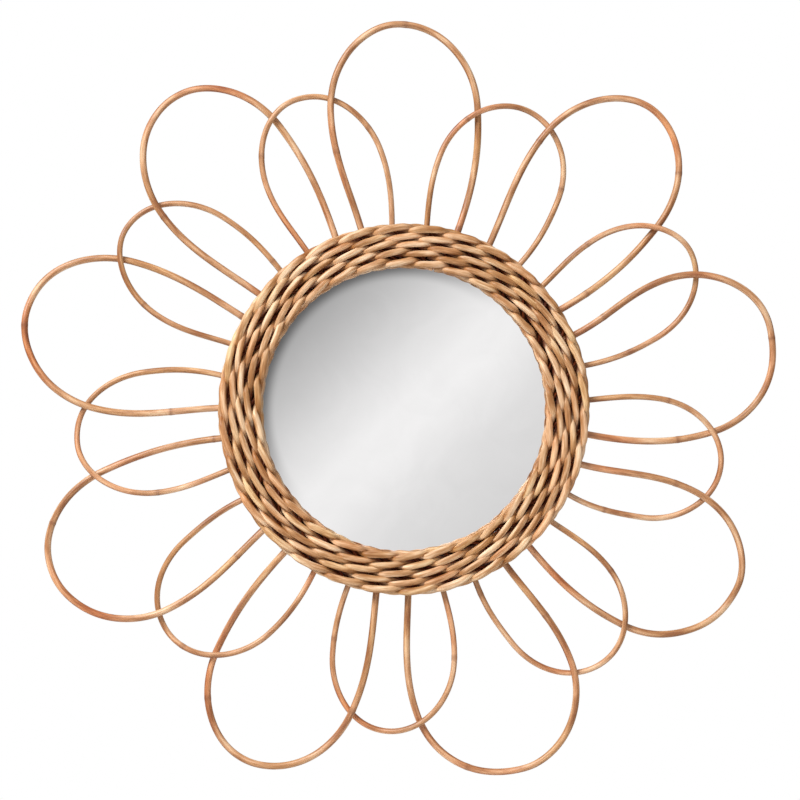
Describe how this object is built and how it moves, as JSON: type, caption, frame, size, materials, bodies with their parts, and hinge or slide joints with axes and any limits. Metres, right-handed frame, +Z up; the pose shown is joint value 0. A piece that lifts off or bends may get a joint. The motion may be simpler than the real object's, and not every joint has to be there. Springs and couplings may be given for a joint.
{
  "type": "wall mirror",
  "caption": "Round wall mirror in a ring of twined rattan, with large and small loops of bent rod around it like the petals of a flower.",
  "frame": {"origin": "centre of the flat back of the backing board, where it meets the wall", "axes": "+Y out of the back of the mirror into the wall, -Y towards the viewer, +Z up, +X to the viewer's right"},
  "size_m": [0.5597, 0.0219, 0.5606],
  "materials": {
    "petal_rod": "peeled rattan core, bent, clear matt varnish",
    "weaver": "peeled rattan core, woven, clear satin varnish",
    "rib": "rattan core, unvarnished",
    "backing_board": "hardboard, stained dark brown",
    "mirror_glass": "silvered float glass",
    "hanger": "zinc plated sheet"
  },
  "bodies": {
    "root": {"backing_board": "backing_board", "hanger": "hanger", "mirror_glass": "mirror_glass", "weave_row_1": "weaver", "weave_row_2": "weaver", "weave_row_3": "weaver", "weave_row_4": "weaver", "weave_row_5": "weaver", "rib_01": "rib", "rib_02": "rib", "rib_03": "rib", "rib_04": "rib", "rib_05": "rib", "rib_06": "rib", "rib_07": "rib", "rib_08": "rib", "rib_09": "rib", "rib_10": "rib", "rib_11": "rib", "rib_12": "rib", "rib_13": "rib", "rib_14": "rib", "rib_15": "rib", "rib_16": "rib", "rib_17": "rib", "rib_18": "rib", "rib_19": "rib", "rib_20": "rib", "rib_21": "rib", "rib_22": "rib", "rib_23": "rib", "rib_24": "rib", "rib_25": "rib", "rib_26": "rib", "rib_27": "rib", "rib_28": "rib", "rib_29": "rib", "rib_30": "rib", "rib_31": "rib", "petal_large_1": "petal_rod", "petal_large_2": "petal_rod", "petal_large_3": "petal_rod", "petal_large_4": "petal_rod", "petal_large_5": "petal_rod", "petal_large_6": "petal_rod", "petal_large_7": "petal_rod", "petal_large_8": "petal_rod", "petal_large_9": "petal_rod", "petal_small_1": "petal_rod", "petal_small_2": "petal_rod", "petal_small_3": "petal_rod", "petal_small_4": "petal_rod", "petal_small_5": "petal_rod", "petal_small_6": "petal_rod", "petal_small_7": "petal_rod", "petal_small_8": "petal_rod", "petal_small_9": "petal_rod"}
  },
  "joints": []
}
